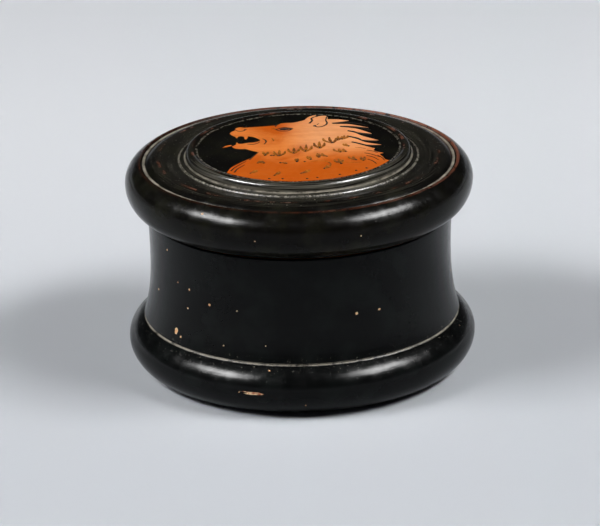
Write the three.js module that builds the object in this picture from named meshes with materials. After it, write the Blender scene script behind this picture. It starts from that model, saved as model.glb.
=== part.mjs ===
// Lidded pyxis of fired clay, black-glossed, in two thrown and turned pieces.
// The box has a heavy roll at its foot, a gently waisted wall and a deep cup inside.
// The lid has a roll at its edge, turned mouldings and a raised round medallion on top,
// and a flange below that drops into the mouth of the box and keeps the lid in place.
// Millimetres, +Z up. The origin is the centre of the resting face under the box.

import * as THREE from "three";

// Sizes of the box
const waistRadius = 39.05;       // outside of the wall at its narrowest
const waistHeight = 29.5;        // level of that waist
const rimHeight = 42.0;          // top of the wall
const rimFlare = 0.4;            // how far the wall leans out again up to the rim
const rimRounding = 0.5;         // rounded edges of the rim
const wallFoot = 1.95;           // how far the wall sweeps out again down to the foot roll
const wallThickness = 4.6;       // at the waist
const floorThickness = 6.0;      // clay under the cup
const cupRounding = 5.0;         // curve from the floor of the cup up into its wall
const footOverhang = 6.05;       // reach of the foot roll past the waist
const footRollDepth = 8.8;       // from its greatest radius in to the middle of the roll
const footRollUpper = 6.9;       // rise of the roll above its widest level
const footRollLower = 8.0;       // its widest level, above the resting face
const scrapedWidth = 0.6;        // fine line scraped where the wall meets the foot roll
const scrapedDepth = 0.3;
const restingRingWidth = 5.2;    // flat ring that the box stands on
const recessDepth = 1.6;         // the underside within the ring is hollowed by this much
const recessRounding = 1.0;      // curve from the ring up into that hollow

// Sizes of the lid, with heights above its seat
const lidOverhang = 5.95;        // reach of the lid's roll past the waist
const lidRollDepth = 7.0;        // from its greatest radius in to the middle of the roll
const lidRollUpper = 6.2;        // rise of the roll above its widest level
const lidRollLower = 7.6;        // its widest level, above the seat
const lidRollTop = 4.0;          // from the greatest radius in to the roll's sharp upper edge
const channelWidth = 1.6;        // narrow channel between the roll and the band
const channelDepth = 0.5;
const channelSides = 0.2;        // width of each steep side of the channel
const bandStep = 0.2;            // the band's own small upright edge, above the channel
const bandWidth = 8.4;           // broad low band between the channel and the fillet
const bandCrestRise = 0.8;       // of the band's ridge, above the channel's outer edge
const bandCrestPlace = 0.37;     // place of that ridge, as a part of the band's width
const bandInnerFall = 0.55;      // fall from the ridge in to the fillet
const filletWidth = 1.8;         // narrow fillet round the medallion
const filletStep = 0.25;         // small upright step at its outer edge
const filletRise = 0.3;          // and its rise towards the medallion
const shoulderWidth = 1.75;      // rounded shoulder from the fillet up to the medallion's crest
const shoulderRise = 2.3;
const lipWidth = 1.3;            // inner slope from the crest down to the medallion's face
const lipFall = 0.4;
const topThickness = 6.4;        // clay between the face and the hollow below it
const hollowRounding = 4.0;      // curve from the flange up into that hollow
const flangeThickness = 3.4;
const flangeDepth = 6.5;         // reach of the flange below the seat
const flangeRounding = 1.2;      // rounded edges of its tip

// Fits between the two pieces
const flangeClearance = 0.6;     // all round, between the flange and the mouth of the box
const seatClearance = 0.3;       // between the rim of the box and the seat of the lid

// Fineness of the turned surfaces
const turnSteps = 64;            // facets round the axis
const curveSteps = 4;            // facets along a short curve, and twice as many along an arc
const sharedPoint = 1e-6;        // points of an outline closer than this are one point

// Places that both pieces share
const cupRadius = waistRadius - wallThickness;
const seatHeight = rimHeight + seatClearance;

// Revolves a closed outline, drawn as radius and height, into a solid about the Z axis. Where two
// stretches of the outline meet, the point that they share is kept once.
function turned(name, outline, material) {
  const points = outline.getPoints(curveSteps).filter(
    (point, i, all) => i === 0 || point.distanceTo(all[i - 1]) > sharedPoint);
  const geometry = new THREE.LatheGeometry(points, turnSteps);
  geometry.rotateX(Math.PI / 2);
  const mesh = new THREE.Mesh(geometry, material);
  mesh.name = name;
  return mesh;
}

// Angle round a roll's ellipse at which it has drawn in from its greatest radius by inset.
function rollAngle(inset, depth) {
  return Math.acos(1 - inset / depth);
}

// The box, drawn from the axis under the foot, up the outside, over the rim and down the cup.
function boxOutline() {
  const footRollRadius = waistRadius + footOverhang;
  const footRollCentre = footRollRadius - footRollDepth;
  const ringInner = footRollCentre - restingRingWidth;
  const junctionRadius = waistRadius + wallFoot;
  const junctionAngle = rollAngle(footRollRadius - junctionRadius, footRollDepth);
  const junctionHeight = footRollLower + footRollUpper * Math.sin(junctionAngle);
  const wallStart = junctionHeight + scrapedWidth;
  const lowerBend = wallStart + 0.4 * (waistHeight - wallStart);
  const upperBend = (waistHeight + rimHeight) / 2;
  const rimRadius = waistRadius + rimFlare;
  const cupFloor = recessDepth + floorThickness;
  const quarter = Math.PI / 2;

  const outline = new THREE.Path();
  outline.moveTo(0, recessDepth);
  outline.lineTo(ringInner - recessRounding, recessDepth);
  outline.quadraticCurveTo(ringInner, recessDepth, ringInner, 0);
  outline.absellipse(footRollCentre, footRollLower, footRollDepth, footRollLower, -quarter, 0);
  outline.absellipse(footRollCentre, footRollLower, footRollDepth, footRollUpper, 0, junctionAngle);
  outline.lineTo(junctionRadius - scrapedDepth, junctionHeight + scrapedWidth / 2);
  outline.lineTo(junctionRadius, wallStart);
  outline.quadraticCurveTo(waistRadius, lowerBend, waistRadius, waistHeight);
  outline.quadraticCurveTo(waistRadius, upperBend, rimRadius, rimHeight - rimRounding);
  outline.quadraticCurveTo(rimRadius, rimHeight, rimRadius - rimRounding, rimHeight);
  outline.lineTo(cupRadius + rimRounding, rimHeight);
  outline.quadraticCurveTo(cupRadius, rimHeight, cupRadius, rimHeight - rimRounding);
  outline.absarc(cupRadius - cupRounding, cupFloor + cupRounding, cupRounding, 0, -quarter, true);
  outline.lineTo(0, cupFloor);
  return outline;
}

// The lid, drawn from the axis in the hollow, down inside the flange, round its tip and up to
// the seat, out under the roll, over it and in across the mouldings to the medallion.
function lidOutline() {
  const flangeOuter = cupRadius - flangeClearance;
  const flangeInner = flangeOuter - flangeThickness;
  const lidRadius = waistRadius + lidOverhang;
  const rollCentre = lidRadius - lidRollDepth;
  const edgeAngle = rollAngle(lidRollTop, lidRollDepth);
  const edgeRadius = lidRadius - lidRollTop;
  const edgeHeight = lidRollLower + lidRollUpper * Math.sin(edgeAngle);
  const channelFloor = edgeHeight - channelDepth;
  const bandOuter = edgeRadius - channelWidth;
  const bandInner = bandOuter - bandWidth;
  const crestRadius = bandOuter - bandCrestPlace * bandWidth;
  const crestHeight = edgeHeight + bandCrestRise;
  const bandInnerHeight = crestHeight - bandInnerFall;
  const filletHeight = bandInnerHeight + filletStep;
  const shoulderRadius = bandInner - filletWidth;
  const shoulderFoot = filletHeight + filletRise;
  const medallionRadius = shoulderRadius - shoulderWidth;
  const medallionHeight = shoulderFoot + shoulderRise;
  const faceHeight = medallionHeight - lipFall;
  const ceiling = faceHeight - topThickness;
  const quarter = Math.PI / 2;

  const outline = new THREE.Path();
  outline.moveTo(0, ceiling);
  outline.lineTo(flangeInner - hollowRounding, ceiling);
  outline.absarc(flangeInner - hollowRounding, ceiling - hollowRounding, hollowRounding,
    quarter, 0, true);
  outline.lineTo(flangeInner, flangeRounding - flangeDepth);
  outline.quadraticCurveTo(flangeInner, -flangeDepth, flangeInner + flangeRounding, -flangeDepth);
  outline.lineTo(flangeOuter - flangeRounding, -flangeDepth);
  outline.quadraticCurveTo(flangeOuter, -flangeDepth, flangeOuter, flangeRounding - flangeDepth);
  outline.lineTo(flangeOuter, 0);
  outline.absellipse(rollCentre, lidRollLower, lidRollDepth, lidRollLower, -quarter, 0);
  outline.absellipse(rollCentre, lidRollLower, lidRollDepth, lidRollUpper, 0, edgeAngle);
  outline.lineTo(edgeRadius - channelSides, channelFloor);
  outline.lineTo(bandOuter + channelSides, channelFloor);
  outline.lineTo(bandOuter, channelFloor + bandStep);
  outline.quadraticCurveTo((bandOuter + crestRadius) / 2, crestHeight, crestRadius, crestHeight);
  outline.quadraticCurveTo((crestRadius + bandInner) / 2, crestHeight, bandInner, bandInnerHeight);
  outline.lineTo(bandInner - channelSides, filletHeight);
  outline.lineTo(shoulderRadius, shoulderFoot);
  outline.quadraticCurveTo(shoulderRadius, medallionHeight, medallionRadius, medallionHeight);
  outline.quadraticCurveTo(medallionRadius - lipWidth / 2, faceHeight,
    medallionRadius - lipWidth, faceHeight);
  outline.lineTo(0, faceHeight);
  return outline;
}

const blackGloss = new THREE.MeshStandardMaterial({ color: 0x121211, roughness: 0.25, metalness: 0 });
const lidGloss = new THREE.MeshStandardMaterial({ color: 0x161411, roughness: 0.3, metalness: 0 });

const box = turned("box", boxOutline(), blackGloss);
const lid = turned("lid", lidOutline(), lidGloss);
lid.position.z = seatHeight;

const pyxis = new THREE.Group();
pyxis.add(box, lid);

export default pyxis;
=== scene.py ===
"""A lidded pyxis of black-glossed clay, with an animal's head in red-figure on its lid.

Both turned pieces are made again as fine surfaces on the frame's bodies, from the same sizes in mm.
The figure, its drawn lines, the pinholes and the chips are thin pieces that lie on them.
"""

import math
import random
from collections import namedtuple

import bpy
from mathutils import Matrix, Vector, geometry, noise


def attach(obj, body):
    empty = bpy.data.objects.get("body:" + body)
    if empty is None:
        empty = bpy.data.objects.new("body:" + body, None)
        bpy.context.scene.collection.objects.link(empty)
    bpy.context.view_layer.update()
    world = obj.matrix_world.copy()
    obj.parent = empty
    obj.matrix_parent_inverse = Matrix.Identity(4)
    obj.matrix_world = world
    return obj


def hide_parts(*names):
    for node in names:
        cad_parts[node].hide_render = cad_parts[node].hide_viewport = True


MM = 0.001

# Sizes of the box, in mm
WAIST_RADIUS = 39.05
WAIST_HEIGHT = 29.5
RIM_HEIGHT = 42.0
RIM_FLARE = 0.4
RIM_ROUNDING = 0.5
WALL_FOOT = 1.95
WALL_BEND_PLACE = 0.4     # of the bend below the waist, as a part of the height up to it
WALL_THICKNESS = 4.6
FLOOR_THICKNESS = 6.0
CUP_ROUNDING = 5.0
FOOT_OVERHANG = 6.05
FOOT_ROLL_DEPTH = 8.8
FOOT_ROLL_UPPER = 6.9
FOOT_ROLL_LOWER = 8.0
SCRAPED_WIDTH = 0.6
SCRAPED_DEPTH = 0.3
RESTING_RING_WIDTH = 5.2
RECESS_DEPTH = 1.6
RECESS_ROUNDING = 1.0

# Sizes of the lid, in mm, with heights above its seat
LID_OVERHANG = 5.95
LID_ROLL_DEPTH = 7.0
LID_ROLL_UPPER = 6.2
LID_ROLL_LOWER = 7.6
LID_ROLL_TOP = 4.0
CHANNEL_WIDTH = 1.6
CHANNEL_DEPTH = 0.5
CHANNEL_SIDES = 0.2
BAND_STEP = 0.2
BAND_WIDTH = 8.4
BAND_CREST_RISE = 0.8
BAND_CREST_PLACE = 0.37
BAND_INNER_FALL = 0.55
FILLET_WIDTH = 1.8
FILLET_STEP = 0.25
FILLET_RISE = 0.3
SHOULDER_WIDTH = 1.75
SHOULDER_RISE = 2.3
LIP_WIDTH = 1.3
LIP_FALL = 0.4
TOP_THICKNESS = 6.4
HOLLOW_ROUNDING = 4.0
FLANGE_THICKNESS = 3.4
FLANGE_DEPTH = 6.5
FLANGE_ROUNDING = 1.2
FLANGE_CLEARANCE = 0.6
SEAT_CLEARANCE = 0.3

# Places that follow from the sizes
CUP_RADIUS = WAIST_RADIUS - WALL_THICKNESS
SEAT_HEIGHT = RIM_HEIGHT + SEAT_CLEARANCE
QUARTER = math.pi / 2


def roll_angle(inset, depth):
    """Angle round a roll's ellipse at which it has drawn in from its greatest radius by inset."""
    return math.acos(1 - inset / depth)


FOOT_ROLL_RADIUS = WAIST_RADIUS + FOOT_OVERHANG
FOOT_ROLL_CENTRE = FOOT_ROLL_RADIUS - FOOT_ROLL_DEPTH
JUNCTION_RADIUS = WAIST_RADIUS + WALL_FOOT
JUNCTION_ANGLE = roll_angle(FOOT_ROLL_RADIUS - JUNCTION_RADIUS, FOOT_ROLL_DEPTH)
JUNCTION_HEIGHT = FOOT_ROLL_LOWER + FOOT_ROLL_UPPER * math.sin(JUNCTION_ANGLE)
LID_RADIUS = WAIST_RADIUS + LID_OVERHANG
LID_ROLL_CENTRE = LID_RADIUS - LID_ROLL_DEPTH
EDGE_ANGLE = roll_angle(LID_ROLL_TOP, LID_ROLL_DEPTH)
EDGE_RADIUS = LID_RADIUS - LID_ROLL_TOP
EDGE_HEIGHT = LID_ROLL_LOWER + LID_ROLL_UPPER * math.sin(EDGE_ANGLE)
CHANNEL_FLOOR = EDGE_HEIGHT - CHANNEL_DEPTH
BAND_OUTER = EDGE_RADIUS - CHANNEL_WIDTH
BAND_INNER = BAND_OUTER - BAND_WIDTH
CREST_RADIUS = BAND_OUTER - BAND_CREST_PLACE * BAND_WIDTH
CREST_HEIGHT = EDGE_HEIGHT + BAND_CREST_RISE
BAND_INNER_HEIGHT = CREST_HEIGHT - BAND_INNER_FALL
FILLET_HEIGHT = BAND_INNER_HEIGHT + FILLET_STEP
SHOULDER_RADIUS = BAND_INNER - FILLET_WIDTH
SHOULDER_FOOT = FILLET_HEIGHT + FILLET_RISE
MEDALLION_RADIUS = SHOULDER_RADIUS - SHOULDER_WIDTH
MEDALLION_HEIGHT = SHOULDER_FOOT + SHOULDER_RISE
FACE_RADIUS = MEDALLION_RADIUS - LIP_WIDTH
FACE_HEIGHT = MEDALLION_HEIGHT - LIP_FALL
FACE_LEVEL = SEAT_HEIGHT + FACE_HEIGHT

# Fineness of the turned surfaces
TURN_STEPS = 288
ARC_STEPS = 20
CURVE_STEPS = 10
SHARED_POINT = 1e-6       # mm: points of an outline closer than this are one point

# Unevenness left by the hand
WOBBLE = 0.03             # mm
WOBBLE_SCALE = 0.09       # per mm
SHARP_ANGLE = math.radians(32)

# Finishes of a stretch of an outline, as places in the piece's list of materials
GLOSS = 0
CLAY = 1

# The camera, fitted to the edges of lid, wall and foot. The picture is 600 by 526 pixels.
PICTURE_WIDTH = 600
SENSOR_WIDTH = 36.0
FOCAL_PIXELS = 4803.0
CAMERA_ELEVATION = math.radians(20.7)
CAMERA_ROLL = math.radians(-1.31)
CAMERA_DISTANCE = 1250.0
CAMERA_TARGET = Vector((-0.22, 0.0, 26.31))
CAMERA_NEAREST = 0.01
CAMERA_FARTHEST = 100


class Outline:
    """The closed outline of a turned piece: radius and height in mm, and the finish of each stretch."""

    def __init__(self, radius, height):
        self.points = [(radius, height)]
        self.finishes = []

    def line(self, radius, height, finish=GLOSS):
        """A straight stretch to a point, unless the outline is there already."""
        if math.dist(self.points[-1], (radius, height)) > SHARED_POINT:
            self.points.append((radius, height))
            self.finishes.append(finish)

    def curve(self, bend_radius, bend_height, radius, height, finish=GLOSS):
        """A quadratic curve whose control point is the bend."""
        start_radius, start_height = self.points[-1]
        for i in range(1, CURVE_STEPS + 1):
            t = i / CURVE_STEPS
            a, b, c = (1 - t) ** 2, 2 * t * (1 - t), t * t
            self.line(a * start_radius + b * bend_radius + c * radius,
                      a * start_height + b * bend_height + c * height, finish)

    def arc(self, centre, level, across, along, start, end, finish=GLOSS):
        """A stretch of an ellipse round (centre, level), with half axes across and along."""
        for i in range(ARC_STEPS + 1):
            angle = start + (end - start) * i / ARC_STEPS
            self.line(centre + across * math.cos(angle), level + along * math.sin(angle), finish)


def box_outline():
    """From the axis under the foot, up the outside, over the rim and down the cup."""
    ring_inner = FOOT_ROLL_CENTRE - RESTING_RING_WIDTH
    wall_start = JUNCTION_HEIGHT + SCRAPED_WIDTH
    rim_radius = WAIST_RADIUS + RIM_FLARE
    cup_floor = RECESS_DEPTH + FLOOR_THICKNESS
    lower_bend = wall_start + WALL_BEND_PLACE * (WAIST_HEIGHT - wall_start)
    upper_bend = (WAIST_HEIGHT + RIM_HEIGHT) / 2
    outline = Outline(0, RECESS_DEPTH)
    outline.line(ring_inner - RECESS_ROUNDING, RECESS_DEPTH, CLAY)
    outline.curve(ring_inner, RECESS_DEPTH, ring_inner, 0, CLAY)
    outline.line(FOOT_ROLL_CENTRE, 0, CLAY)
    outline.arc(FOOT_ROLL_CENTRE, FOOT_ROLL_LOWER, FOOT_ROLL_DEPTH, FOOT_ROLL_LOWER, -QUARTER, 0)
    outline.arc(FOOT_ROLL_CENTRE, FOOT_ROLL_LOWER, FOOT_ROLL_DEPTH, FOOT_ROLL_UPPER, 0, JUNCTION_ANGLE)
    outline.line(JUNCTION_RADIUS - SCRAPED_DEPTH, JUNCTION_HEIGHT + SCRAPED_WIDTH / 2)
    outline.line(JUNCTION_RADIUS, wall_start)
    outline.curve(WAIST_RADIUS, lower_bend, WAIST_RADIUS, WAIST_HEIGHT)
    outline.curve(WAIST_RADIUS, upper_bend, rim_radius, RIM_HEIGHT - RIM_ROUNDING)
    outline.curve(rim_radius, RIM_HEIGHT, rim_radius - RIM_ROUNDING, RIM_HEIGHT)
    outline.line(CUP_RADIUS + RIM_ROUNDING, RIM_HEIGHT, CLAY)
    outline.curve(CUP_RADIUS, RIM_HEIGHT, CUP_RADIUS, RIM_HEIGHT - RIM_ROUNDING, CLAY)
    outline.arc(CUP_RADIUS - CUP_ROUNDING, cup_floor + CUP_ROUNDING, CUP_ROUNDING, CUP_ROUNDING,
                0, -QUARTER)
    outline.line(0, cup_floor)
    return outline


def lid_outline():
    """From the axis in the hollow, round the flange, up to the seat and over the roll to the face."""
    flange_outer = CUP_RADIUS - FLANGE_CLEARANCE
    flange_inner = flange_outer - FLANGE_THICKNESS
    ceiling = FACE_HEIGHT - TOP_THICKNESS
    shallow = FLANGE_ROUNDING - FLANGE_DEPTH
    outline = Outline(0, ceiling)
    outline.line(flange_inner - HOLLOW_ROUNDING, ceiling)
    outline.arc(flange_inner - HOLLOW_ROUNDING, ceiling - HOLLOW_ROUNDING,
                HOLLOW_ROUNDING, HOLLOW_ROUNDING, QUARTER, 0)
    outline.line(flange_inner, shallow)
    outline.curve(flange_inner, -FLANGE_DEPTH, flange_inner + FLANGE_ROUNDING, -FLANGE_DEPTH, CLAY)
    outline.line(flange_outer - FLANGE_ROUNDING, -FLANGE_DEPTH, CLAY)
    outline.curve(flange_outer, -FLANGE_DEPTH, flange_outer, shallow, CLAY)
    outline.line(flange_outer, 0, CLAY)
    outline.line(LID_ROLL_CENTRE, 0, CLAY)
    outline.arc(LID_ROLL_CENTRE, LID_ROLL_LOWER, LID_ROLL_DEPTH, LID_ROLL_LOWER, -QUARTER, 0)
    outline.arc(LID_ROLL_CENTRE, LID_ROLL_LOWER, LID_ROLL_DEPTH, LID_ROLL_UPPER, 0, EDGE_ANGLE)
    outline.line(EDGE_RADIUS - CHANNEL_SIDES, CHANNEL_FLOOR)
    outline.line(BAND_OUTER + CHANNEL_SIDES, CHANNEL_FLOOR)
    outline.line(BAND_OUTER, CHANNEL_FLOOR + BAND_STEP)
    outline.curve((BAND_OUTER + CREST_RADIUS) / 2, CREST_HEIGHT, CREST_RADIUS, CREST_HEIGHT)
    outline.curve((CREST_RADIUS + BAND_INNER) / 2, CREST_HEIGHT, BAND_INNER, BAND_INNER_HEIGHT)
    outline.line(BAND_INNER - CHANNEL_SIDES, FILLET_HEIGHT)
    outline.line(SHOULDER_RADIUS, SHOULDER_FOOT)
    outline.curve(SHOULDER_RADIUS, MEDALLION_HEIGHT, MEDALLION_RADIUS, MEDALLION_HEIGHT)
    outline.curve(MEDALLION_RADIUS - LIP_WIDTH / 2, FACE_HEIGHT, FACE_RADIUS, FACE_HEIGHT)
    outline.line(0, FACE_HEIGHT)
    return outline


def new_piece(name, points, faces, body, material):
    """A mesh piece from points in mm, riding on a body."""
    mesh = bpy.data.meshes.new(name)
    mesh.from_pydata([Vector(p) * MM for p in points], [], faces)
    mesh.validate()
    mesh.materials.append(material)
    piece = bpy.data.objects.new(name, mesh)
    bpy.context.scene.collection.objects.link(piece)
    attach(piece, body)
    return piece


def shade_smooth(piece):
    piece.data.polygons.foreach_set("use_smooth", [True] * len(piece.data.polygons))


def turned(name, outline, level, body, materials):
    """Revolves an outline about the axis, with its height counted from level. The outside is a
    little uneven."""
    points = []
    rings = []
    for radius, height in outline.points:
        steps = TURN_STEPS if radius > 0 else 1
        rings.append((len(points), steps))
        for i in range(steps):
            turn = 2 * math.pi * i / TURN_STEPS
            place = Vector((radius * math.cos(turn), radius * math.sin(turn), height + level))
            outside = radius > CUP_RADIUS
            reach = 1 + WOBBLE * noise.noise(place * WOBBLE_SCALE) / radius if outside else 1
            points.append((place.x * reach, place.y * reach, place.z))
    faces = []
    finishes = []
    for (low, low_steps), (high, high_steps), finish in zip(rings, rings[1:], outline.finishes):
        for i in range(TURN_STEPS):
            j = (i + 1) % TURN_STEPS
            if low_steps == 1:
                face = (low, high + j, high + i)
            elif high_steps == 1:
                face = (low + i, low + j, high)
            else:
                face = (low + i, low + j, high + j, high + i)
            faces.append(face)
            finishes.append(finish)
    piece = new_piece(name, points, faces, body, materials[GLOSS])
    piece.data.materials.append(materials[CLAY])
    piece.data.polygons.foreach_set("material_index", finishes)
    shade_smooth(piece)
    piece.data.set_sharp_from_angle(angle=SHARP_ANGLE)
    return piece


# Sockets with a place on the piece, in mm: its radius and height, and its X and Y
Place = namedtuple("Place", "radius height x y")

# Sockets of the Mix node, by number because several share a name
NUMBER_INPUTS = (2, 3)
NUMBER_OUTPUT = 0
COLOUR_INPUTS = (6, 7)
COLOUR_OUTPUT = 2

STREAK_CHANGE = 0.02      # of a streak along its way round, as a part of that across it


class Nodes:
    """Makes the nodes of a material or world. A value is a number, or the socket of another node."""

    def __init__(self, owner, shader, coordinates):
        self.owner = owner
        owner.use_nodes = True
        self.tree = owner.node_tree
        self.shader = self.tree.nodes[shader]
        self.coordinates = self.node("ShaderNodeTexCoord").outputs[coordinates]

    def node(self, kind, **settings):
        """A new node of a kind, with its settings."""
        made = self.tree.nodes.new(kind)
        for key, value in settings.items():
            setattr(made, key, value)
        return made

    def put(self, socket, value):
        """Gives a socket its value."""
        if isinstance(value, bpy.types.NodeSocket):
            self.tree.links.new(value, socket)
        else:
            socket.default_value = value

    def math(self, operation, a, b=0.0):
        """The result of a Math node on one or two values."""
        made = self.node("ShaderNodeMath", operation=operation)
        self.put(made.inputs[0], a)
        self.put(made.inputs[1], b)
        return made.outputs[0]

    def ramp(self, value, low, high, to_low=0.0, to_high=1.0):
        """Goes smoothly from to_low to to_high while value goes from low to high."""
        made = self.node("ShaderNodeMapRange", interpolation_type="SMOOTHSTEP")
        for socket, number in zip(made.inputs, (value, low, high, to_low, to_high)):
            self.put(socket, number)
        return made.outputs[0]

    def noise(self, scale, detail=3.0, roughness=0.5, stretch=(1, 1, 1), distortion=0.0):
        """Noise with about scale lumps per mm."""
        mapping = self.node("ShaderNodeMapping")
        self.put(mapping.inputs["Vector"], self.coordinates)
        mapping.inputs["Scale"].default_value = [s / MM for s in stretch]
        made = self.node("ShaderNodeTexNoise")
        self.put(made.inputs["Vector"], mapping.outputs[0])
        made.inputs["Scale"].default_value = scale
        made.inputs["Detail"].default_value = detail
        made.inputs["Roughness"].default_value = roughness
        made.inputs["Distortion"].default_value = distortion
        return made.outputs["Fac"]

    def streaks(self, across, at, scale):
        """Noise in streaks that run round the axis, with about scale of them per mm across."""
        joined = self.node("ShaderNodeCombineXYZ")
        self.put(joined.inputs[0], across)
        self.put(joined.inputs[1], self.part(at.x, STREAK_CHANGE))
        self.put(joined.inputs[2], self.part(at.y, STREAK_CHANGE))
        made = self.node("ShaderNodeTexNoise")
        self.put(made.inputs["Vector"], joined.outputs[0])
        made.inputs["Scale"].default_value = scale
        return made.outputs["Fac"]

    def split(self):
        """The three coordinates, each by itself."""
        parts = self.node("ShaderNodeSeparateXYZ")
        self.put(parts.inputs[0], self.coordinates)
        return parts.outputs

    def axes(self):
        """The place that is being coloured."""
        x, y, z = (self.math("DIVIDE", part, MM) for part in self.split())
        squares = self.math("ADD", self.math("MULTIPLY", x, x), self.math("MULTIPLY", y, y))
        return Place(self.math("SQRT", squares), z, x, y)

    def part(self, value, share):
        """A fixed share of a value."""
        return self.math("MULTIPLY", value, share)

    def band(self, value, centre, half_width, softness):
        """1 where value is within half_width of centre, falling to 0 over softness."""
        away = self.math("ABSOLUTE", self.math("SUBTRACT", value, centre))
        return self.ramp(away, half_width, half_width + softness, 1.0, 0.0)

    def both(self, *masks):
        """1 where all the masks are 1."""
        result = masks[0]
        for mask in masks[1:]:
            result = self.math("MULTIPLY", result, mask)
        return result

    def either(self, *masks):
        """The greatest of the masks."""
        result = masks[0]
        for mask in masks[1:]:
            result = self.math("MAXIMUM", result, mask)
        return result

    def mix(self, mask, first, second):
        """Colour that goes from first to second with mask."""
        made = self.node("ShaderNodeMix", data_type="RGBA")
        self.put(made.inputs["Factor"], mask)
        for place, value in zip(COLOUR_INPUTS, (first, second)):
            plain = not isinstance(value, bpy.types.NodeSocket)
            self.put(made.inputs[place], colour(value) if plain else value)
        return made.outputs[COLOUR_OUTPUT]

    def blend(self, mask, first, second):
        """Number that goes from first to second with mask."""
        made = self.node("ShaderNodeMix", data_type="FLOAT")
        self.put(made.inputs["Factor"], mask)
        for place, value in zip(NUMBER_INPUTS, (first, second)):
            self.put(made.inputs[place], value)
        return made.outputs[NUMBER_OUTPUT]

    def bump(self, height, depth_mm):
        """Relief on the shader, depth_mm deep where height goes from 0 to 1."""
        made = self.node("ShaderNodeBump")
        self.put(made.inputs["Height"], height)
        made.inputs["Strength"].default_value = 1.0
        made.inputs["Distance"].default_value = depth_mm * MM
        self.set("Normal", made.outputs[0])

    def set(self, name, value):
        """Gives a socket of the shader its value."""
        self.put(self.shader.inputs[name], value)


def material_nodes(name):
    """The nodes of a new material, with places counted from its piece's origin."""
    return Nodes(bpy.data.materials.new(name), "Principled BSDF", "Object")


def colour(on_screen):
    """Linear colour, with alpha, of one written as it shows on screen, such as (20, 24, 22)."""
    def linear(part):
        share = part / 255
        return share / 12.92 if share <= 0.04045 else ((share + 0.055) / 1.055) ** 2.4
    return (*(linear(part) for part in on_screen), 1.0)


# How strongly each finish mirrors, and how rough it is where it is matt
GLOSS_IOR = 1.18
CLAY_SPECULAR = 0.05
FIGURE_SPECULAR = 0.01
DRAWN_SPECULAR = 0.03
FLOOR_SPECULAR = 0.1
MATT = 0.85

# Colours as they show on screen
GLOSS_BLACK = (8, 9, 9)
GLOSS_GREENISH = (15, 18, 17)
GLOSS_BROWN = (38, 26, 17)
LID_BLACK = (10, 9, 7)
LID_GREENISH = (24, 24, 16)
WORN_RED = (132, 68, 40)
# grey of the lid's streaky film, which also stands for painted sheen on the band and shoulder
FILM_AND_SHEEN_GREY = (112, 108, 96)
DEPOSIT = (158, 150, 134)
FIGURE_ORANGE = (220, 128, 58)
FIGURE_DEEP = (186, 82, 10)
FIGURE_PALE = (250, 190, 136)
BARE_CLAY = (196, 122, 78)
BARE_CLAY_DARK = (168, 98, 60)
RELIEF_BLACK = (18, 15, 13)
DILUTE_GOLD = (178, 104, 8)
DILUTE_DARK = (108, 56, 10)
CHIP_CREAM = (238, 208, 164)
CHIP_TAN = (218, 156, 104)
CHIP_BRICK = (176, 96, 66)


def gloss_base(nodes, first, second):
    """Colour, bump height and roughness of black gloss in two mottled colours."""
    mottled = nodes.ramp(nodes.noise(0.12, 4.0, 0.6), 0.42, 0.72)
    turning = nodes.noise(1.0, 3.0, 0.6, stretch=(0.04, 0.04, 1.1))
    brushed = nodes.noise(0.25, 3.0, 0.5)
    pits = nodes.ramp(nodes.noise(1.6, 2.0, 0.5), 0.66, 0.74)
    relief = nodes.math("ADD", nodes.part(turning, 0.55), nodes.part(brushed, 0.45))
    relief = nodes.math("SUBTRACT", relief, nodes.part(pits, 0.35))
    roughness = nodes.ramp(nodes.noise(0.3, 4.0, 0.6), 0.3, 0.75, 0.13, 0.25)
    return nodes.mix(mottled, first, second), relief, roughness


def finished_gloss(nodes, base, relief, roughness, deposit, dull):
    """The gloss's material, with whitish deposit on it, and matt where it is dull."""
    nodes.set("Base Color", nodes.mix(deposit, base, DEPOSIT))
    nodes.set("Roughness", nodes.blend(dull, roughness, MATT))
    nodes.set("IOR", GLOSS_IOR)
    nodes.bump(nodes.math("ADD", relief, nodes.part(deposit, 0.8)), 0.05)
    return nodes.owner


def box_gloss_material():
    """The box's gloss, with deposit in its scraped line and brown rubbed places on its foot."""
    nodes = material_nodes("box_black_gloss")
    at = nodes.axes()
    base, relief, roughness = gloss_base(nodes, GLOSS_BLACK, GLOSS_GREENISH)
    scraped_level = JUNCTION_HEIGHT + SCRAPED_WIDTH / 2
    outside = nodes.ramp(at.radius, CUP_RADIUS + 4, CUP_RADIUS + 5)
    patchy = nodes.ramp(nodes.noise(0.35, 5.0, 0.7), 0.36, 0.56)
    line = nodes.band(at.height, scraped_level, SCRAPED_WIDTH * 0.25, 0.25)
    crust = nodes.both(line, outside, nodes.blend(patchy, 0.12, 0.9))
    dusty = nodes.ramp(nodes.noise(1.1, 4.0, 0.75), 0.60, 0.72)
    dust = nodes.both(nodes.band(at.height, scraped_level, 0.7, 1.6), outside, dusty)
    deposit = nodes.either(crust, nodes.part(dust, 0.30))
    rubbed = nodes.ramp(nodes.noise(0.5, 5.0, 0.7), 0.62, 0.74)
    brown = nodes.both(nodes.band(at.height, FOOT_ROLL_LOWER - 3, 2.5, 3.5), rubbed)
    base = nodes.mix(nodes.part(brown, 0.5), base, GLOSS_BROWN)
    return finished_gloss(nodes, base, relief, roughness, deposit, deposit)


def over_band(nodes, at):
    """1 on the inner part of the lid's band, falling to 0 past it."""
    return nodes.band(at.radius, (CREST_RADIUS + BAND_INNER) / 2, 3.6, 2.2)


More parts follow.
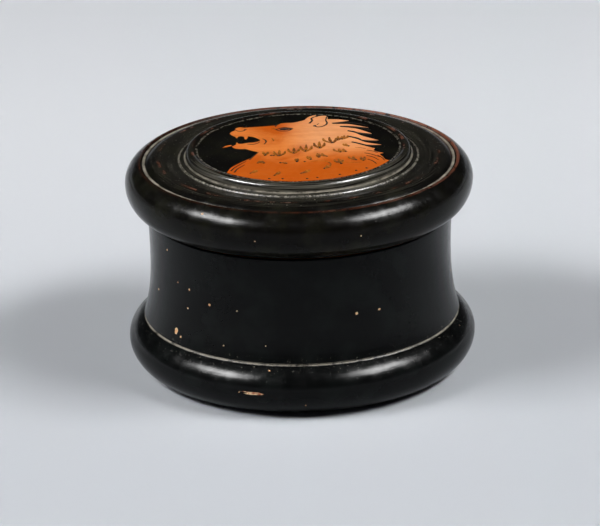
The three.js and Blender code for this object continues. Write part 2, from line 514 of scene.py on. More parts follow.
def lid_deposit(nodes, at, level):
    """Whitish deposit in the grooves round the lid, and specks of it on the band and the face."""
    patchy = nodes.ramp(nodes.noise(0.3, 5.0, 0.7), 0.34, 0.60)
    stippled = nodes.ramp(nodes.noise(1.3, 4.0, 0.8), 0.47, 0.60)
    sideways = nodes.ramp(nodes.math("ABSOLUTE", at.x), 8.0, 30.0, 0.25, 1.0)
    channel_place = (EDGE_RADIUS + BAND_OUTER) / 2 - 0.15
    channel = nodes.both(nodes.band(at.radius, channel_place, 0.14, 0.36), sideways,
                         nodes.blend(patchy, 0.2, 0.85))
    band_edge = nodes.both(nodes.band(at.radius, BAND_INNER - 0.1, 0.14, 0.26),
                           nodes.blend(stippled, 0.10, 0.65))
    low = nodes.ramp(level, SHOULDER_FOOT + 0.5, SHOULDER_FOOT + 0.1)
    shoulder_foot = nodes.both(nodes.band(at.radius, SHOULDER_RADIUS + 0.1, 0.14, 0.26), low,
                               nodes.blend(patchy, 0.1, 0.75))
    lip_foot = nodes.both(nodes.band(at.radius, FACE_RADIUS + 0.1, 0.10, 0.35),
                          nodes.part(stippled, 0.4))
    specks = nodes.ramp(nodes.noise(2.2, 3.0, 0.6), 0.69, 0.74)
    over_face = nodes.ramp(at.radius, FACE_RADIUS - 0.5, FACE_RADIUS + 0.2, 0.45, 0.0)
    scattered = nodes.both(specks, nodes.either(over_band(nodes, at), over_face))
    return nodes.either(channel, band_edge, shoulder_foot, lip_foot, scattered)


def lid_film_and_sheen(nodes, at):
    """Grey streaks round the axis: on the band a thin film that is partly painted sheen, and on the front
    of the shoulder a painted highlight that fades towards the back.
    """
    streaks = nodes.streaks(nodes.math("SUBTRACT", at.radius, at.height), at, 3.0)
    # painted highlight on the shoulder, strongest at the front
    frontward = nodes.ramp(at.y, -2.0, -24.0, 0.12, 1.0)
    shoulder_place = (SHOULDER_RADIUS + MEDALLION_RADIUS) / 2 + 0.3
    shoulder_sheen = nodes.both(frontward, nodes.band(at.radius, shoulder_place, 1.2, 1.0))
    film_and_sheen = nodes.either(nodes.part(over_band(nodes, at), 0.22), shoulder_sheen)
    return nodes.both(film_and_sheen, nodes.ramp(streaks, 0.38, 0.64))


def lid_worn(nodes, at, rightward):
    """Reddish clay along the worn arris, ridge and crest, most of it on the right at the back."""
    backward = nodes.ramp(at.y, -20.0, 30.0, 0.35, 1.0)
    broken = nodes.ramp(nodes.noise(0.55, 5.0, 0.7), 0.30, 0.58)
    arris = nodes.both(nodes.band(at.radius, EDGE_RADIUS + 0.15, 0.22, 0.36), broken, rightward,
                       backward)
    dashed = nodes.ramp(nodes.noise(0.16, 5.0, 0.7), 0.50, 0.62)
    ridge = nodes.both(nodes.band(at.radius, CREST_RADIUS, 0.22, 0.35), dashed)
    crest = nodes.both(nodes.band(at.radius, MEDALLION_RADIUS, 0.20, 0.35), dashed)
    return nodes.either(arris, nodes.part(ridge, 0.25), nodes.part(crest, 0.35))


def lid_gloss_material():
    """The lid's gloss, worn on top and streaked there with grey film and painted sheen, and brownish low
    on the right of its roll.
    """
    nodes = material_nodes("lid_black_gloss")
    at = nodes.axes()
    level = nodes.math("SUBTRACT", at.height, SEAT_HEIGHT)
    top = nodes.ramp(level, CHANNEL_FLOOR - 1.2, CHANNEL_FLOOR - 0.9)
    rightward = nodes.ramp(nodes.math("ADD", at.x, nodes.part(at.y, 0.25)), -30.0, 42.0, 0.15, 1.0)
    deposit = nodes.both(top, lid_deposit(nodes, at, level))
    film_and_sheen = nodes.both(top, lid_film_and_sheen(nodes, at))
    worn = nodes.both(top, lid_worn(nodes, at, rightward))
    cloudy = nodes.ramp(nodes.noise(0.10, 4.0, 0.6), 0.40, 0.68)
    brown = nodes.both(nodes.ramp(level, 5.5, 2.0), cloudy, rightward)
    base, relief, roughness = gloss_base(nodes, LID_BLACK, LID_GREENISH)
    base = nodes.mix(nodes.part(brown, 0.75), base, GLOSS_BROWN)
    # grey streaks: a thin film, with painted sheen on the band and the front of the shoulder
    base = nodes.mix(nodes.part(film_and_sheen, 0.55), base, FILM_AND_SHEEN_GREY)
    base = nodes.mix(worn, base, WORN_RED)
    dull = nodes.either(deposit, nodes.part(worn, 0.8), nodes.part(film_and_sheen, 0.08))
    return finished_gloss(nodes, base, relief, roughness, deposit, dull)


def clay_material():
    """Bare fired clay, with the marks of the wheel."""
    nodes = material_nodes("bare_clay")
    rings = nodes.math("SINE", nodes.part(nodes.axes().radius, 5.2))
    cloudy = nodes.ramp(nodes.noise(0.12, 5.0, 0.6), 0.32, 0.68)
    mica = nodes.ramp(nodes.noise(2.4, 2.0, 0.5), 0.70, 0.76)
    base = nodes.mix(cloudy, BARE_CLAY, BARE_CLAY_DARK)
    nodes.set("Base Color", nodes.mix(nodes.part(mica, 0.5), base, CHIP_CREAM))
    nodes.set("Roughness", nodes.ramp(nodes.noise(0.4, 4.0, 0.6), 0.3, 0.7, 0.55, 0.8))
    nodes.set("Specular IOR Level", CLAY_SPECULAR)
    grain = nodes.part(nodes.noise(1.2, 5.0, 0.7), 0.7)
    nodes.bump(nodes.math("ADD", grain, nodes.part(rings, 0.18)), 0.08)
    return nodes.owner


def figure_material():
    """Reserved clay under a reddish wash, which is pale on the cheek and deep low on the neck."""
    nodes = material_nodes("reserved_clay")
    at = nodes.axes()
    washed = nodes.ramp(nodes.noise(0.07, 4.0, 0.6, distortion=0.6), 0.36, 0.66)
    streaks = nodes.ramp(nodes.noise(0.5, 4.0, 0.6, stretch=(0.25, 1.0, 1.0)), 0.3, 0.7)
    upper = nodes.both(nodes.ramp(at.y, -10.0, 6.0), nodes.ramp(at.x, -6.0, 6.0))
    low = nodes.both(nodes.ramp(at.y, 0.0, -14.0), nodes.ramp(at.radius, 4.0, 15.0))
    rubbed = nodes.ramp(nodes.noise(1.5, 4.0, 0.7), 0.66, 0.76)
    base = nodes.mix(washed, FIGURE_ORANGE, FIGURE_DEEP)
    base = nodes.mix(nodes.part(upper, 0.55), base, FIGURE_PALE)
    base = nodes.mix(nodes.part(streaks, 0.22), base, FIGURE_DEEP)
    base = nodes.mix(nodes.part(low, 0.85), base, FIGURE_DEEP)
    base = nodes.mix(nodes.part(rubbed, 0.35), base, BARE_CLAY_DARK)
    nodes.set("Base Color", base)
    nodes.set("Roughness", nodes.ramp(nodes.noise(0.5, 4.0, 0.6), 0.3, 0.7, 0.38, 0.55))
    nodes.set("Specular IOR Level", FIGURE_SPECULAR)
    nodes.bump(nodes.noise(0.9, 5.0, 0.65), 0.05)
    return nodes.owner


def line_material(name, first, second):
    """A drawn line: thick slip, or a thin golden wash of it."""
    nodes = material_nodes(name)
    uneven = nodes.ramp(nodes.noise(0.9, 4.0, 0.6), 0.35, 0.65)
    nodes.set("Base Color", nodes.mix(uneven, first, second))
    nodes.set("Roughness", nodes.ramp(nodes.noise(1.5, 3.0, 0.6), 0.3, 0.7, 0.5, 0.65))
    nodes.set("Specular IOR Level", DRAWN_SPECULAR)
    nodes.bump(nodes.noise(2.0, 3.0, 0.6), 0.02)
    return nodes.owner


def chip_material(name, first, second):
    """Clay laid bare where the gloss has come away."""
    nodes = material_nodes(name)
    cloudy = nodes.ramp(nodes.noise(1.2, 4.0, 0.7), 0.35, 0.65)
    nodes.set("Base Color", nodes.mix(cloudy, first, second))
    nodes.set("Roughness", nodes.ramp(nodes.noise(2.0, 3.0, 0.6), 0.3, 0.7, 0.6, 0.85))
    nodes.set("Specular IOR Level", CLAY_SPECULAR)
    nodes.bump(nodes.noise(2.5, 4.0, 0.7), 0.08)
    return nodes.owner


# The figure, on the lid's face, in mm seen from above. Each stretch of its edge runs smoothly
# through its points and turns sharply into the next one.
NOSE_AND_BROW = [
    [(-17.7, 12.0), (-17.2, 13.3), (-16.5, 13.9)],
    [(-16.5, 13.9), (-16.2, 15.7), (-15.1, 16.6), (-13.9, 16.2)],
    [(-13.9, 16.2), (-11.3, 16.6), (-8.5, 17.0), (-5.7, 17.5)],
    [(-5.7, 17.5), (-4.7, 18.8), (-3.2, 19.4), (-1.0, 19.5), (1.8, 21.2)],
]
EARS = [
    [(1.8, 21.2), (2.6, 23.2), (3.6, 24.5), (4.9, 25.2)],
    [(4.9, 25.2), (4.7, 24.4), (4.4, 23.9)],
    [(4.4, 23.9), (5.4, 24.2), (6.6, 24.5), (7.5, 24.3)],
    [(7.5, 24.3), (7.9, 23.2), (7.8, 21.6)],
]
LOCKS = [
    # along the upper edge to the tip, then back along the lower edge to the root of the gap
    ([(7.8, 21.6), (10.7, 21.3), (13.4, 20.1)], [(13.4, 20.1), (11.6, 19.4), (9.2, 18.8)]),
    ([(9.2, 17.9), (11.5, 17.6), (14.0, 17.0), (18.4, 14.2)], [(18.4, 14.2), (14.5, 15.7), (11.2, 16.2)]),
    ([(11.2, 15.2), (13.2, 14.6), (15.6, 13.3), (19.2, 9.4)], [(19.2, 9.4), (16.0, 10.6), (13.2, 12.5)]),
    ([(13.2, 11.5), (14.9, 10.2), (16.8, 7.7), (20.8, 4.0)], [(20.8, 4.0), (17.0, 4.7), (13.5, 8.0)]),
    ([(13.5, 7.0), (15.6, 5.0), (17.4, 2.8), (21.4, 0.5)], [(21.4, 0.5), (17.6, 0.9), (14.1, 3.4)]),
]
MANE_END = [
    [(14.1, 2.7), (16.6, 0.5), (19.7, -2.3)],
    [(19.7, -2.3), (19.4, -3.6), (20.3, -4.9), (21.9, -5.9)],
    [(21.9, -5.9), (20.9, -6.7), (21.6, -8.7), (22.3, -11.0), (23.3, -11.5)],
]
CHEST = [
    [(-18.3, -18.4), (-17.8, -16.6), (-17.3, -14.8), (-16.1, -12.8), (-14.6, -10.6), (-12.7, -8.2),
     (-11.3, -5.7), (-10.4, -3.0)],
]
MOUTH = [
    [(-10.4, -3.0), (-11.9, -1.9), (-13.6, -0.3)],
    [(-13.6, -0.3), (-15.4, -0.3), (-16.5, 0.4), (-17.1, 1.6)],
    [(-17.1, 1.6), (-16.1, 3.0)],
    [(-16.1, 3.0), (-15.9, 5.0)],
    [(-15.9, 5.0), (-15.4, 3.7)],
    [(-15.4, 3.7), (-14.3, 3.7), (-13.0, 4.3), (-11.6, 4.5), (-10.4, 5.1), (-9.8, 6.2), (-10.4, 7.4),
     (-11.6, 8.9), (-13.0, 9.5)],
    [(-13.0, 9.5), (-13.2, 7.8), (-13.6, 7.0), (-13.9, 7.9), (-14.0, 9.2)],
    [(-14.0, 9.2), (-14.8, 9.7), (-15.5, 9.4)],
    [(-15.5, 9.4), (-15.9, 8.0)],
    [(-15.9, 8.0), (-16.3, 9.4)],
    [(-16.3, 9.4), (-17.2, 10.6), (-17.7, 12.0)],
]
TONGUE = [
    [(-19.5, 1.0), (-18.7, 2.2), (-17.3, 2.9)],
    [(-17.3, 2.9), (-17.3, 2.3), (-18.4, 1.5), (-19.5, 1.0)],
]
LOWER_EDGE_GAP = 0.25     # from the foot of the medallion's lip
LOWER_EDGE_STEPS = 60
RUN_STEPS = 7             # between two points of a smooth run

# Thickness of the figure, in mm
PLATE_SINK = 0.02         # into the lid's face
PLATE_THICKNESS = 0.05    # above it
WASH_FOOT = 0.0           # where each kind of stroke starts, above the head's face
WASH_RISE = 0.02
DARK_FOOT = 0.01
DARK_RISE = 0.04
RELIEF_FOOT = -0.01
RELIEF_RISE = 0.10


def smooth_run(points):
    """Points along a smooth line through the given ones, without the last."""
    ends = [points[0], *points, points[-1]]
    run = []
    for p0, p1, p2, p3 in zip(ends, ends[1:], ends[2:], ends[3:]):
        for i in range(RUN_STEPS):
            t = i / RUN_STEPS
            run.append(tuple(
                0.5 * (2 * b + (c - a) * t + (2 * a - 5 * b + 4 * c - d) * t * t
                       + (3 * b - a - 3 * c + d) * t ** 3)
                for a, b, c, d in zip(p0, p1, p2, p3)))
    return run


def lower_edge():
    """The figure's lower edge, which follows the medallion's lip from the mane round to the chest."""
    radius = FACE_RADIUS - LOWER_EDGE_GAP
    (x0, y0), (x1, y1) = MANE_END[-1][-1], CHEST[0][0]
    start, end = math.atan2(y0, x0), math.atan2(y1, x1)
    turns = [start + (end - start) * i / LOWER_EDGE_STEPS for i in range(1, LOWER_EDGE_STEPS)]
    return [(radius * math.cos(turn), radius * math.sin(turn)) for turn in turns]


def head_edge():
    """The head's whole edge: over the brow and mane, round below, and up the chest to the mouth."""
    edge = []
    for stretch in NOSE_AND_BROW + EARS:
        edge += smooth_run(stretch)
    for upper, lower in LOCKS:
        edge += smooth_run(upper)
        edge += smooth_run(lower)
        edge.append(lower[-1])
    for stretch in MANE_END:
        edge += smooth_run(stretch)
    edge.append(MANE_END[-1][-1])
    edge += lower_edge()
    for stretch in CHEST + MOUTH:
        edge += smooth_run(stretch)
    return edge


def plate(name, edge, material):
    """A thin flat plate with the given edge, laid on the lid's face."""
    count = len(edge)
    levels = (FACE_LEVEL - PLATE_SINK, FACE_LEVEL + PLATE_THICKNESS)
    points = [(x, y, level) for level in levels for x, y in edge]
    faces = []
    for triangle in geometry.tessellate_polygon([[Vector((x, y, 0)) for x, y in edge]]):
        a, b, c = (Vector(edge[i]) for i in triangle)
        clockwise = (b - a).cross(c - a) < 0
        upward = triangle[::-1] if clockwise else triangle
        faces.append([count + i for i in upward])
        faces.append(upward[::-1])
    area = sum(x0 * y1 - x1 * y0 for (x0, y0), (x1, y1) in zip(edge, edge[1:] + edge[:1]))
    for i in range(count):
        j = (i + 1) % count
        side = (i, j, count + j, count + i)
        faces.append(side if area > 0 else side[::-1])
    new_piece(name, points, faces, "lid", material)


def stroke_width(widths, share):
    """Width of a stroke at a share of its way, from its widths at start, middle and end."""
    start, middle, end = (LINE_WEIGHT * width for width in widths)
    if share < 0.5:
        return start + (middle - start) * 2 * share
    return middle + (end - middle) * (2 * share - 1)


def strokes(name, lines, foot, rise, material):
    """Strokes on the head, as low ridges. Each is a list of points, and its widths at start, middle
    and end."""
    low = FACE_LEVEL + PLATE_THICKNESS + foot
    points = []
    faces = []
    for run, widths in lines:
        path = smooth_run(run) + [run[-1]]
        last = len(path) - 1
        first = len(points)
        for i, (x, y) in enumerate(path):
            ahead = Vector(path[min(i + 1, last)]) - Vector(path[max(i - 1, 0)])
            across = Vector((-ahead.y, ahead.x)).normalized()
            half = stroke_width(widths, i / last) / 2
            left = Vector((x, y)) + across * half
            right = Vector((x, y)) - across * half
            b = len(points)
            points += [(left.x, left.y, low), (x, y, low + rise), (right.x, right.y, low)]
            if i:
                a = b - 3
                faces += [(a, a + 1, b + 1, b), (a + 1, a + 2, b + 2, b + 1), (a + 2, a, b, b + 2)]
        end = len(points) - 3
        faces += [(first, first + 2, first + 1), (end, end + 1, end + 2)]
    shade_smooth(new_piece(name, points, faces, "lid", material))


# The drawn lines, dark and golden. Each has its points, and its widths at start, middle and end.
LINE_WEIGHT = 1.25        # by which all widths are multiplied
RELIEF_LINES = [
    ([(-16.4, 15.3), (-16.0, 14.2), (-15.1, 13.5), (-14.1, 13.9), (-13.7, 14.7)], (0.25, 0.35, 0.4)),
    ([(-13.8, 14.9), (-13.6, 14.4)], (0.5, 0.8, 0.5)),
    ([(-5.8, 16.5), (-5.6, 17.6), (-4.7, 18.8)], (0.3, 0.4, 0.3)),
    ([(-5.7, 14.1), (-4.8, 15.1), (-3.2, 15.6), (-1.4, 14.7)], (0.25, 0.35, 0.5)),
    ([(-5.7, 14.1), (-4.3, 12.9), (-2.5, 13.1), (-1.4, 14.7)], (0.25, 0.3, 0.5)),
    ([(-4.7, 14.3), (-3.5, 14.4), (-2.2, 14.4)], (0.7, 1.6, 0.8)),
    ([(-2.4, 14.2), (-1.5, 14.5)], (0.5, 0.9, 0.6)),
    ([(-9.2, 7.2), (-8.5, 6.2), (-8.3, 4.6), (-8.8, 2.9)], (0.2, 0.4, 0.25)),
    ([(-13.1, 3.3), (-11.7, 3.0), (-10.6, 3.7), (-9.9, 4.9)], (0.3, 0.35, 0.2)),
    ([(-12.6, -8.9), (-11.4, -5.9), (-10.3, -3.4)], (0.45, 0.35, 0.2)),
    ([(-17.3, -17.2), (-16.5, -15.0), (-15.0, -12.4), (-13.4, -10.0)], (0.5, 0.35, 0.2)),
    ([(-16.4, -18.3), (-15.6, -15.7), (-13.8, -12.8)], (0.5, 0.35, 0.2)),
    ([(3.0, 18.6), (3.8, 20.8), (3.6, 22.4), (4.4, 23.7), (5.4, 24.1)], (0.5, 0.45, 0.35)),
    ([(7.7, 23.7), (7.4, 20.9), (7.7, 18.6), (7.1, 16.8), (6.0, 15.7), (5.0, 15.7), (4.5, 16.6)],
     (0.3, 0.45, 0.35)),
    ([(4.3, 16.1), (4.6, 17.0)], (0.5, 0.8, 0.5)),
    ([(5.0, 17.4), (5.5, 18.3)], (0.25, 0.3, 0.15)),
    ([(9.0, 18.3), (11.5, 18.6), (14.2, 18.2), (17.6, 16.4)], (0.7, 0.55, 0.2)),
    ([(11.0, 15.7), (13.4, 15.3), (15.8, 14.4), (18.6, 12.3)], (0.7, 0.65, 0.2)),
    ([(13.0, 12.1), (14.6, 11.2), (16.1, 9.5), (19.0, 8.2)], (0.75, 0.7, 0.2)),
    ([(13.2, 7.6), (15.3, 6.1), (16.9, 4.0), (20.4, 2.9)], (0.75, 0.7, 0.2)),
    ([(13.9, 3.2), (16.0, 1.7), (18.2, 0.1), (20.9, -0.6)], (0.7, 0.65, 0.2)),
    ([(17.0, -5.6), (19.0, -6.9), (20.8, -8.9)], (0.2, 0.35, 0.2)),
    ([(17.6, -3.6), (19.0, -4.2), (20.4, -5.6)], (0.2, 0.3, 0.2)),
    ([(17.5, -7.7), (19.2, -9.0), (20.5, -11.2)], (0.2, 0.35, 0.2)),
    ([(17.7, -10.5), (19.0, -11.9), (19.9, -14.2)], (0.2, 0.35, 0.2)),
    ([(20.3, -7.6), (21.4, -9.4), (22.0, -11.6)], (0.2, 0.35, 0.2)),
]
THIN_WASHES = [
    ([(-6.9, 15.5), (-6.2, 15.0), (-5.6, 14.3)], (0.2, 0.5, 0.3)),
    ([(-6.8, 7.6), (-6.4, 6.2), (-6.3, 5.2)], (0.15, 0.35, 0.15)),
    ([(3.1, -11.2), (5.4, -10.9), (7.2, -11.5), (8.2, -13.4), (7.7, -15.4), (6.4, -17.1)],
     (0.2, 0.35, 0.3)),
    ([(11.3, -12.4), (13.6, -12.6), (16.3, -12.6)], (0.15, 0.25, 0.15)),
    ([(9.4, -9.8), (10.4, -10.0), (11.0, -11.2)], (0.2, 0.3, 0.2)),
    ([(14.6, -1.0), (16.0, -1.4), (17.4, -2.2)], (0.15, 0.25, 0.15)),
]

# Short dark dabs, by their middles
DAB_LEAN = 0.12           # to either side
DAB_REACH = 0.35          # up and down
DAB_WIDTHS = (0.35, 0.6, 0.35)
DARK_DABS = [
    (-8.6, -5.7), (-7.0, -5.9), (-6.3, -5.9), (-4.6, -11.7), (-0.4, -11.1), (1.6, -11.3),
    (10.9, -13.4), (-7.5, -23.6), (-4.1, -23.9), (2.1, -24.2), (4.7, -23.5), (10.4, -21.6),
    (14.6, -18.9), (17.3, -17.2),
]

# Tufts of hair: where the tips meet, how far the far ends lie to the left and right, and how high
TUFTS = [
    (-8.4, -5.6, -0.6, 0.5, 3.2), (-5.0, -6.6, -1.3, 1.6, 4.6), (-1.2, -4.8, -1.4, 1.4, 4.6),
    (1.8, -3.7, -1.2, 1.7, 5.6), (5.5, -1.3, -1.4, 1.3, 5.4), (8.9, 2.5, -2.4, 0.9, 4.9),
    (10.1, 4.6, 0.3, 1.3, 4.1), (11.2, 5.3, 0.8, 1.8, 3.8),
    (11.0, -4.7, -1.9, -0.5, 3.5), (12.4, -4.4, -1.9, -0.8, 3.0), (13.2, -0.2, -1.5, -0.9, 2.6),
    (7.5, -7.7, -2.6, -1.4, 3.2), (5.3, -8.4, -0.5, 0.1, 3.6), (14.9, -11.0, -2.0, -0.9, 3.7),
    (10.9, -13.2, -1.7, 0.4, 3.7), (16.6, -11.6, -0.6, 0.3, 3.8), (-10.5, -11.8, 0.5, 1.0, 2.7),
    (-8.7, -11.9, -1.2, -0.6, 2.6), (-2.9, -12.4, -1.0, -0.5, 1.4), (3.2, -10.0, -0.9, -0.2, 3.3),
    (-0.3, -10.9, -0.4, 0.1, 2.6), (6.4, -17.1, 0.9, 1.6, 3.6), (-12.4, -19.4, 1.2, 1.7, 3.2),
    (-6.3, -21.4, 1.0, 1.4, 3.6), (0.4, -20.3, 1.6, 2.3, 3.4),
]
NARROW_TUFT = 1.6         # one narrower than this has two strokes, and a wider one three
SIDE_FALL = 0.18          # by which the outer strokes of a tuft are shorter than its middle
MIDWAY_LEAN = 0.62        # how much of its lean a stroke has half way up
BOW = 0.22                # and how far it bows out there, as a part of its lean
UPRIGHT_BOW = 0.5         # lean that counts for the bow of an upright stroke
GOLDEN_WIDTHS = (0.26, 0.70, 0.50)
DARK_LEAN = 0.24          # how much of the tuft's lean and height its dark end has
DARK_REACH = 0.20
DARK_WIDTHS = (0.14, 0.34, 0.42)


def tuft_strokes():
    """Golden strokes that fan out from where a tuft's tips meet, and the dark ends at that place."""
    golden = []
    dark = []
    for x, y, left, right, high in TUFTS:
        count = 2 if right - left < NARROW_TUFT else 3
        for i in range(count):
            share = i / (count - 1)
            lean = left + (right - left) * share
            reach = high * (1 - SIDE_FALL * abs(2 * share - 1))
            bow = BOW * (lean if lean else UPRIGHT_BOW)
            run = [(x + lean, y + reach), (x + lean * MIDWAY_LEAN + bow, y + reach * 0.5), (x, y)]
            golden.append((run, GOLDEN_WIDTHS))
        middle = (left + right) / 2
        dark.append(([(x + middle * DARK_LEAN, y + high * DARK_REACH), (x, y)], DARK_WIDTHS))
    return golden, dark


def make_figure(materials):
    """The reserved head with its drawn lines, laid on the lid's face."""
    plate("figure_head", head_edge(), materials["figure"])
    tongue = [point for stretch in TONGUE for point in smooth_run(stretch)]
    plate("figure_tongue", tongue, materials["figure"])
    golden, dark = tuft_strokes()
    dabs = [([(x - DAB_LEAN, y + DAB_REACH), (x + DAB_LEAN, y - DAB_REACH)], DAB_WIDTHS)
            for x, y in DARK_DABS]
    strokes("figure_thin_washes", golden + THIN_WASHES, WASH_FOOT, WASH_RISE,
            materials["dilute"])
    strokes("figure_dark_ends", dark + dabs, DARK_FOOT, DARK_RISE, materials["relief"])
    strokes("figure_relief_lines", RELIEF_LINES, RELIEF_FOOT, RELIEF_RISE,
            materials["relief"])


# Spots where the gloss is gone
SPOT_CORNERS = 12
SPOT_LIFT = 0.03          # mm above the gloss, at the middle
SPOT_RIM = 0.3            # of that, at the rim
SPOT_LEAST = 0.75         # reach of a corner, and how far chance adds to it
SPOT_CHANCE = 0.4


def outer_radius(outline, height):
    """Radius of the outside of a turned piece at a height, and the slope of its outline there."""
    best = (0.0, (0.0, 1.0))
    for (r0, z0), (r1, z1) in zip(outline.points, outline.points[1:]):
        if z1 > z0 and z0 <= height <= z1:
            share = (height - z0) / (z1 - z0)
            radius = r0 + (r1 - r0) * share
            if radius > best[0]:
                best = (radius, (r1 - r0, z1 - z0))
    return best


def patches(name, outline, level, places, body, material, seed):
    """Small uneven spots on the outside of a turned piece, with its outline's height counted from
    level."""
    draw = random.Random(seed)
    points = []
    faces = []
    for turn, height, width, tall, tilt in places:
        radius, (run, rise) = outer_radius(outline, height - level)
        angle = math.radians(turn) - QUARTER
        out = Vector((math.cos(angle), math.sin(angle), 0))
        side = Vector((-math.sin(angle), math.cos(angle), 0))
        up = (out * run + Vector((0, 0, rise))).normalized()
        lift = side.cross(up) * SPOT_LIFT
        tipped = math.radians(tilt)
        first = len(points)
        points.append(out * radius + Vector((0, 0, height)) + lift)
        for i in range(SPOT_CORNERS):
            corner = 2 * math.pi * i / SPOT_CORNERS
            uneven = SPOT_LEAST + SPOT_CHANCE * draw.random()
            a = uneven * width / 2 * math.cos(corner)
            b = uneven * tall / 2 * math.sin(corner)
            across = a * math.cos(tipped) - b * math.sin(tipped)
            along = a * math.sin(tipped) + b * math.cos(tipped)
            bent = angle + across / radius
            climb = along * up.z
            rim_radius, _ = outer_radius(outline, height - level + climb)
            place = Vector((rim_radius * math.cos(bent), rim_radius * math.sin(bent), height + climb))
            points.append(place + lift * SPOT_RIM)
            faces.append((first, first + 1 + i, first + 1 + (i + 1) % SPOT_CORNERS))
    new_piece(name, points, faces, body, material)


# Places of the spots: turn from the front in degrees, level, width and height in mm, and tilt in
# degrees
BOX_PINHOLES = [
    (-60.3, 38.1, 0.5, 0.5, 0), (-69.8, 25.1, 0.5, 0.6, 0), (-47.0, 29.8, 0.5, 0.6, 0),
    (-47.9, 24.6, 0.55, 0.5, 0), (-36.9, 27.3, 0.7, 0.6, 0), (-24.9, 27.1, 0.35, 0.35, 0),
    (20.7, 26.2, 0.75, 0.75, 0), (30.1, 26.1, 0.75, 0.6, 20), (81.1, 25.7, 0.45, 0.5, 0),
    (-53.8, 30.5, 0.35, 0.4, 0), (-13.6, 18.7, 0.35, 0.3, 0), (-30.0, 17.5, 0.4, 0.4, 0),
    (-11.7, 13.0, 0.45, 0.4, 0), (0.5, 4.4, 0.45, 0.35, 0), (72.9, 12.8, 0.35, 0.35, 0),
    (120, 24.0, 0.6, 0.6, 0), (165, 31.0, 0.5, 0.5, 0), (-140, 20.0, 0.6, 0.5, 0),
    (-110, 27.0, 0.5, 0.6, 0), (-165, 9.0, 0.5, 0.4, 0),
]
BOX_CHIPS = [(-53.5, 17.5, 1.4, 1.6, 0), (-50.5, 16.6, 0.7, 0.6, 0), (148, 15.8, 1.2, 1.0, 10)]
FOOT_SCAR = [(-17.4, 7.6, 8.0, 0.9, 0)]
LID_CHIPS = [
    (-34.2, 53.7, 0.7, 0.6, 0), (-14.7, 48.8, 0.4, 0.35, 0), (19.8, 49.2, 0.4, 0.35, 0),
    (110, 50.0, 0.8, 0.6, 0), (-150, 48.5, 0.6, 0.5, 0),
]


def make_wear(box, lid, materials):
    """Pinholes, small chips and a scar on the foot."""
    patches("box_pinholes", box, 0, BOX_PINHOLES, "box", materials["cream"], seed=3)
    patches("box_chips", box, 0, BOX_CHIPS, "box", materials["cream"], seed=5)
    patches("foot_scar", box, 0, FOOT_SCAR, "box", materials["brick"], seed=7)
    patches("lid_chips", lid, SEAT_HEIGHT, LID_CHIPS, "lid", materials["brick"], seed=9)


def make_camera():
    """The camera at the photograph's angle, rolled a little about its own axis."""
    forward = Vector((0, math.cos(CAMERA_ELEVATION), -math.sin(CAMERA_ELEVATION)))
    level_right = Vector((1, 0, 0))
    level_up = level_right.cross(forward)
    right = level_right * math.cos(CAMERA_ROLL) + level_up * math.sin(CAMERA_ROLL)
    up = right.cross(forward)
    data = bpy.data.cameras.new("camera")
    data.sensor_width = SENSOR_WIDTH
    data.lens = FOCAL_PIXELS / PICTURE_WIDTH * SENSOR_WIDTH
    data.clip_start = CAMERA_NEAREST
    data.clip_end = CAMERA_FARTHEST
    camera = bpy.data.objects.new("camera", data)
    bpy.context.scene.collection.objects.link(camera)
    place = (CAMERA_TARGET - forward * CAMERA_DISTANCE) * MM
    rows = [[right[i], up[i], -forward[i], place[i]] for i in range(3)]
    camera.matrix_world = Matrix([*rows, [0, 0, 0, 1]])
    bpy.context.scene.camera = camera


# The lamps, in metres and watts
LAMP_DISTANCE = 1.2
LAMP_AIM = Vector((0, 0, 0.03))
LAMP_WIDTH = 0.28         # from left to right
LAMP_DEPTH = 0.62         # from front to back
LAMP_POWER = 11.0
CARD_POWER = 150.0
LAMP_DIRECTIONS = {"left": (-0.68, -0.28, 0.68), "right": (0.62, -0.25, 0.74)}


def soft_box(name, towards, power):
    """A soft rectangular lamp in the given direction from the object, facing it."""
    data = bpy.data.lights.new(name, "AREA")
    data.shape = "RECTANGLE"
    data.size = LAMP_DEPTH
    data.size_y = LAMP_WIDTH
    data.energy = power
    lamp = bpy.data.objects.new(name, data)
    bpy.context.scene.collection.objects.link(lamp)
    direction = Vector(towards).normalized()
    lamp.location = LAMP_AIM + direction * LAMP_DISTANCE
    lamp.rotation_mode = "QUATERNION"
    lamp.rotation_quaternion = direction.to_track_quat("Z", "Y")
    return lamp


def make_lights():
    """A lamp on either side, and with each a card that only shows as a highlight on the gloss."""
    for side, towards in LAMP_DIRECTIONS.items():
        soft_box(side + "_box", towards, LAMP_POWER)
        card = soft_box(side + "_card", towards, CARD_POWER)
        card.visible_diffuse = False


# The room, by the upward part of a direction in it
ROOM_PALE = (212, 215, 222)
ROOM_DARK = (24, 24, 26)
PALE_UP_TO = 0.02
DARK_FROM = 0.12


def make_world():
    """A dim room: pale up to a little above the horizon, dark above it."""
    world = bpy.data.worlds.new("studio")
    bpy.context.scene.world = world
    nodes = Nodes(world, "Background", "Generated")
    _, _, upward = nodes.split()
    nodes.set("Color", nodes.mix(nodes.ramp(upward, PALE_UP_TO, DARK_FROM), ROOM_PALE, ROOM_DARK))
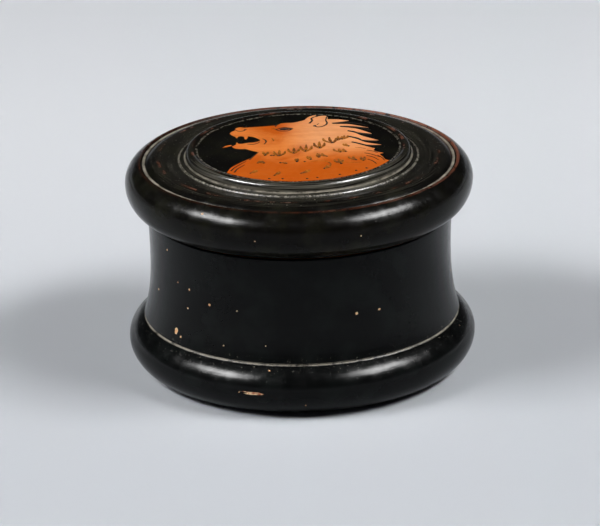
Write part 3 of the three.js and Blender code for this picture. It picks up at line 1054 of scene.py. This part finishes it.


# The floor, with painted shade: darker at the front and paler at the back
FLOOR_REACH = 6.0         # metres
FLOOR_ROUGHNESS = 0.9
FLOOR_FRONT = (188, 192, 198)
FLOOR_BACK = (224, 227, 232)
FRONT_PLACE = -100.0      # mm
BACK_PLACE = 240.0


def make_floor():
    """A pale floor that takes the shadow, with painted shade that darkens it towards the front."""
    mesh = bpy.data.meshes.new("floor")
    r = FLOOR_REACH
    mesh.from_pydata([(-r, -r, 0), (r, -r, 0), (r, r, 0), (-r, r, 0)], [], [(0, 1, 2, 3)])
    nodes = material_nodes("floor_paper")
    # painted shade: the floor's colour darkens towards the front
    backward = nodes.ramp(nodes.axes().y, FRONT_PLACE, BACK_PLACE)
    nodes.set("Base Color", nodes.mix(backward, FLOOR_FRONT, FLOOR_BACK))
    nodes.set("Roughness", FLOOR_ROUGHNESS)
    nodes.set("Specular IOR Level", FLOOR_SPECULAR)
    mesh.materials.append(nodes.owner)
    floor = bpy.data.objects.new("floor", mesh)
    bpy.context.scene.collection.objects.link(floor)


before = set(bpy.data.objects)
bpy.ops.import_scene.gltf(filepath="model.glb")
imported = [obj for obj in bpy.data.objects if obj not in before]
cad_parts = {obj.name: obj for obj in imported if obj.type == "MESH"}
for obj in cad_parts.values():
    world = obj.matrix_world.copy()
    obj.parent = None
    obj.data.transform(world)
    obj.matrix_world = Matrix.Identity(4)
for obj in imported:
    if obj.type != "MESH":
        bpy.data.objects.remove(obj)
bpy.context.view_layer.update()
make_camera()
materials = {
    "clay": clay_material(),
    "figure": figure_material(),
    "relief": line_material("relief_line", RELIEF_BLACK, GLOSS_BROWN),
    "dilute": line_material("dilute_wash", DILUTE_GOLD, DILUTE_DARK),
    "cream": chip_material("pale_chip", CHIP_CREAM, CHIP_TAN),
    "brick": chip_material("brick_chip", CHIP_BRICK, CHIP_CREAM),
}
box_profile = box_outline()
lid_profile = lid_outline()
box_piece = turned("turned_box", box_profile, 0, "box",
                   [box_gloss_material(), materials["clay"]])
lid_piece = turned("turned_lid", lid_profile, SEAT_HEIGHT, "lid",
                   [lid_gloss_material(), materials["clay"]])
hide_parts("box")
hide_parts("lid")
make_figure(materials)
make_wear(box_profile, lid_profile, materials)
make_lights()
make_world()
make_floor()
bpy.context.scene.view_settings.view_transform = "Standard"
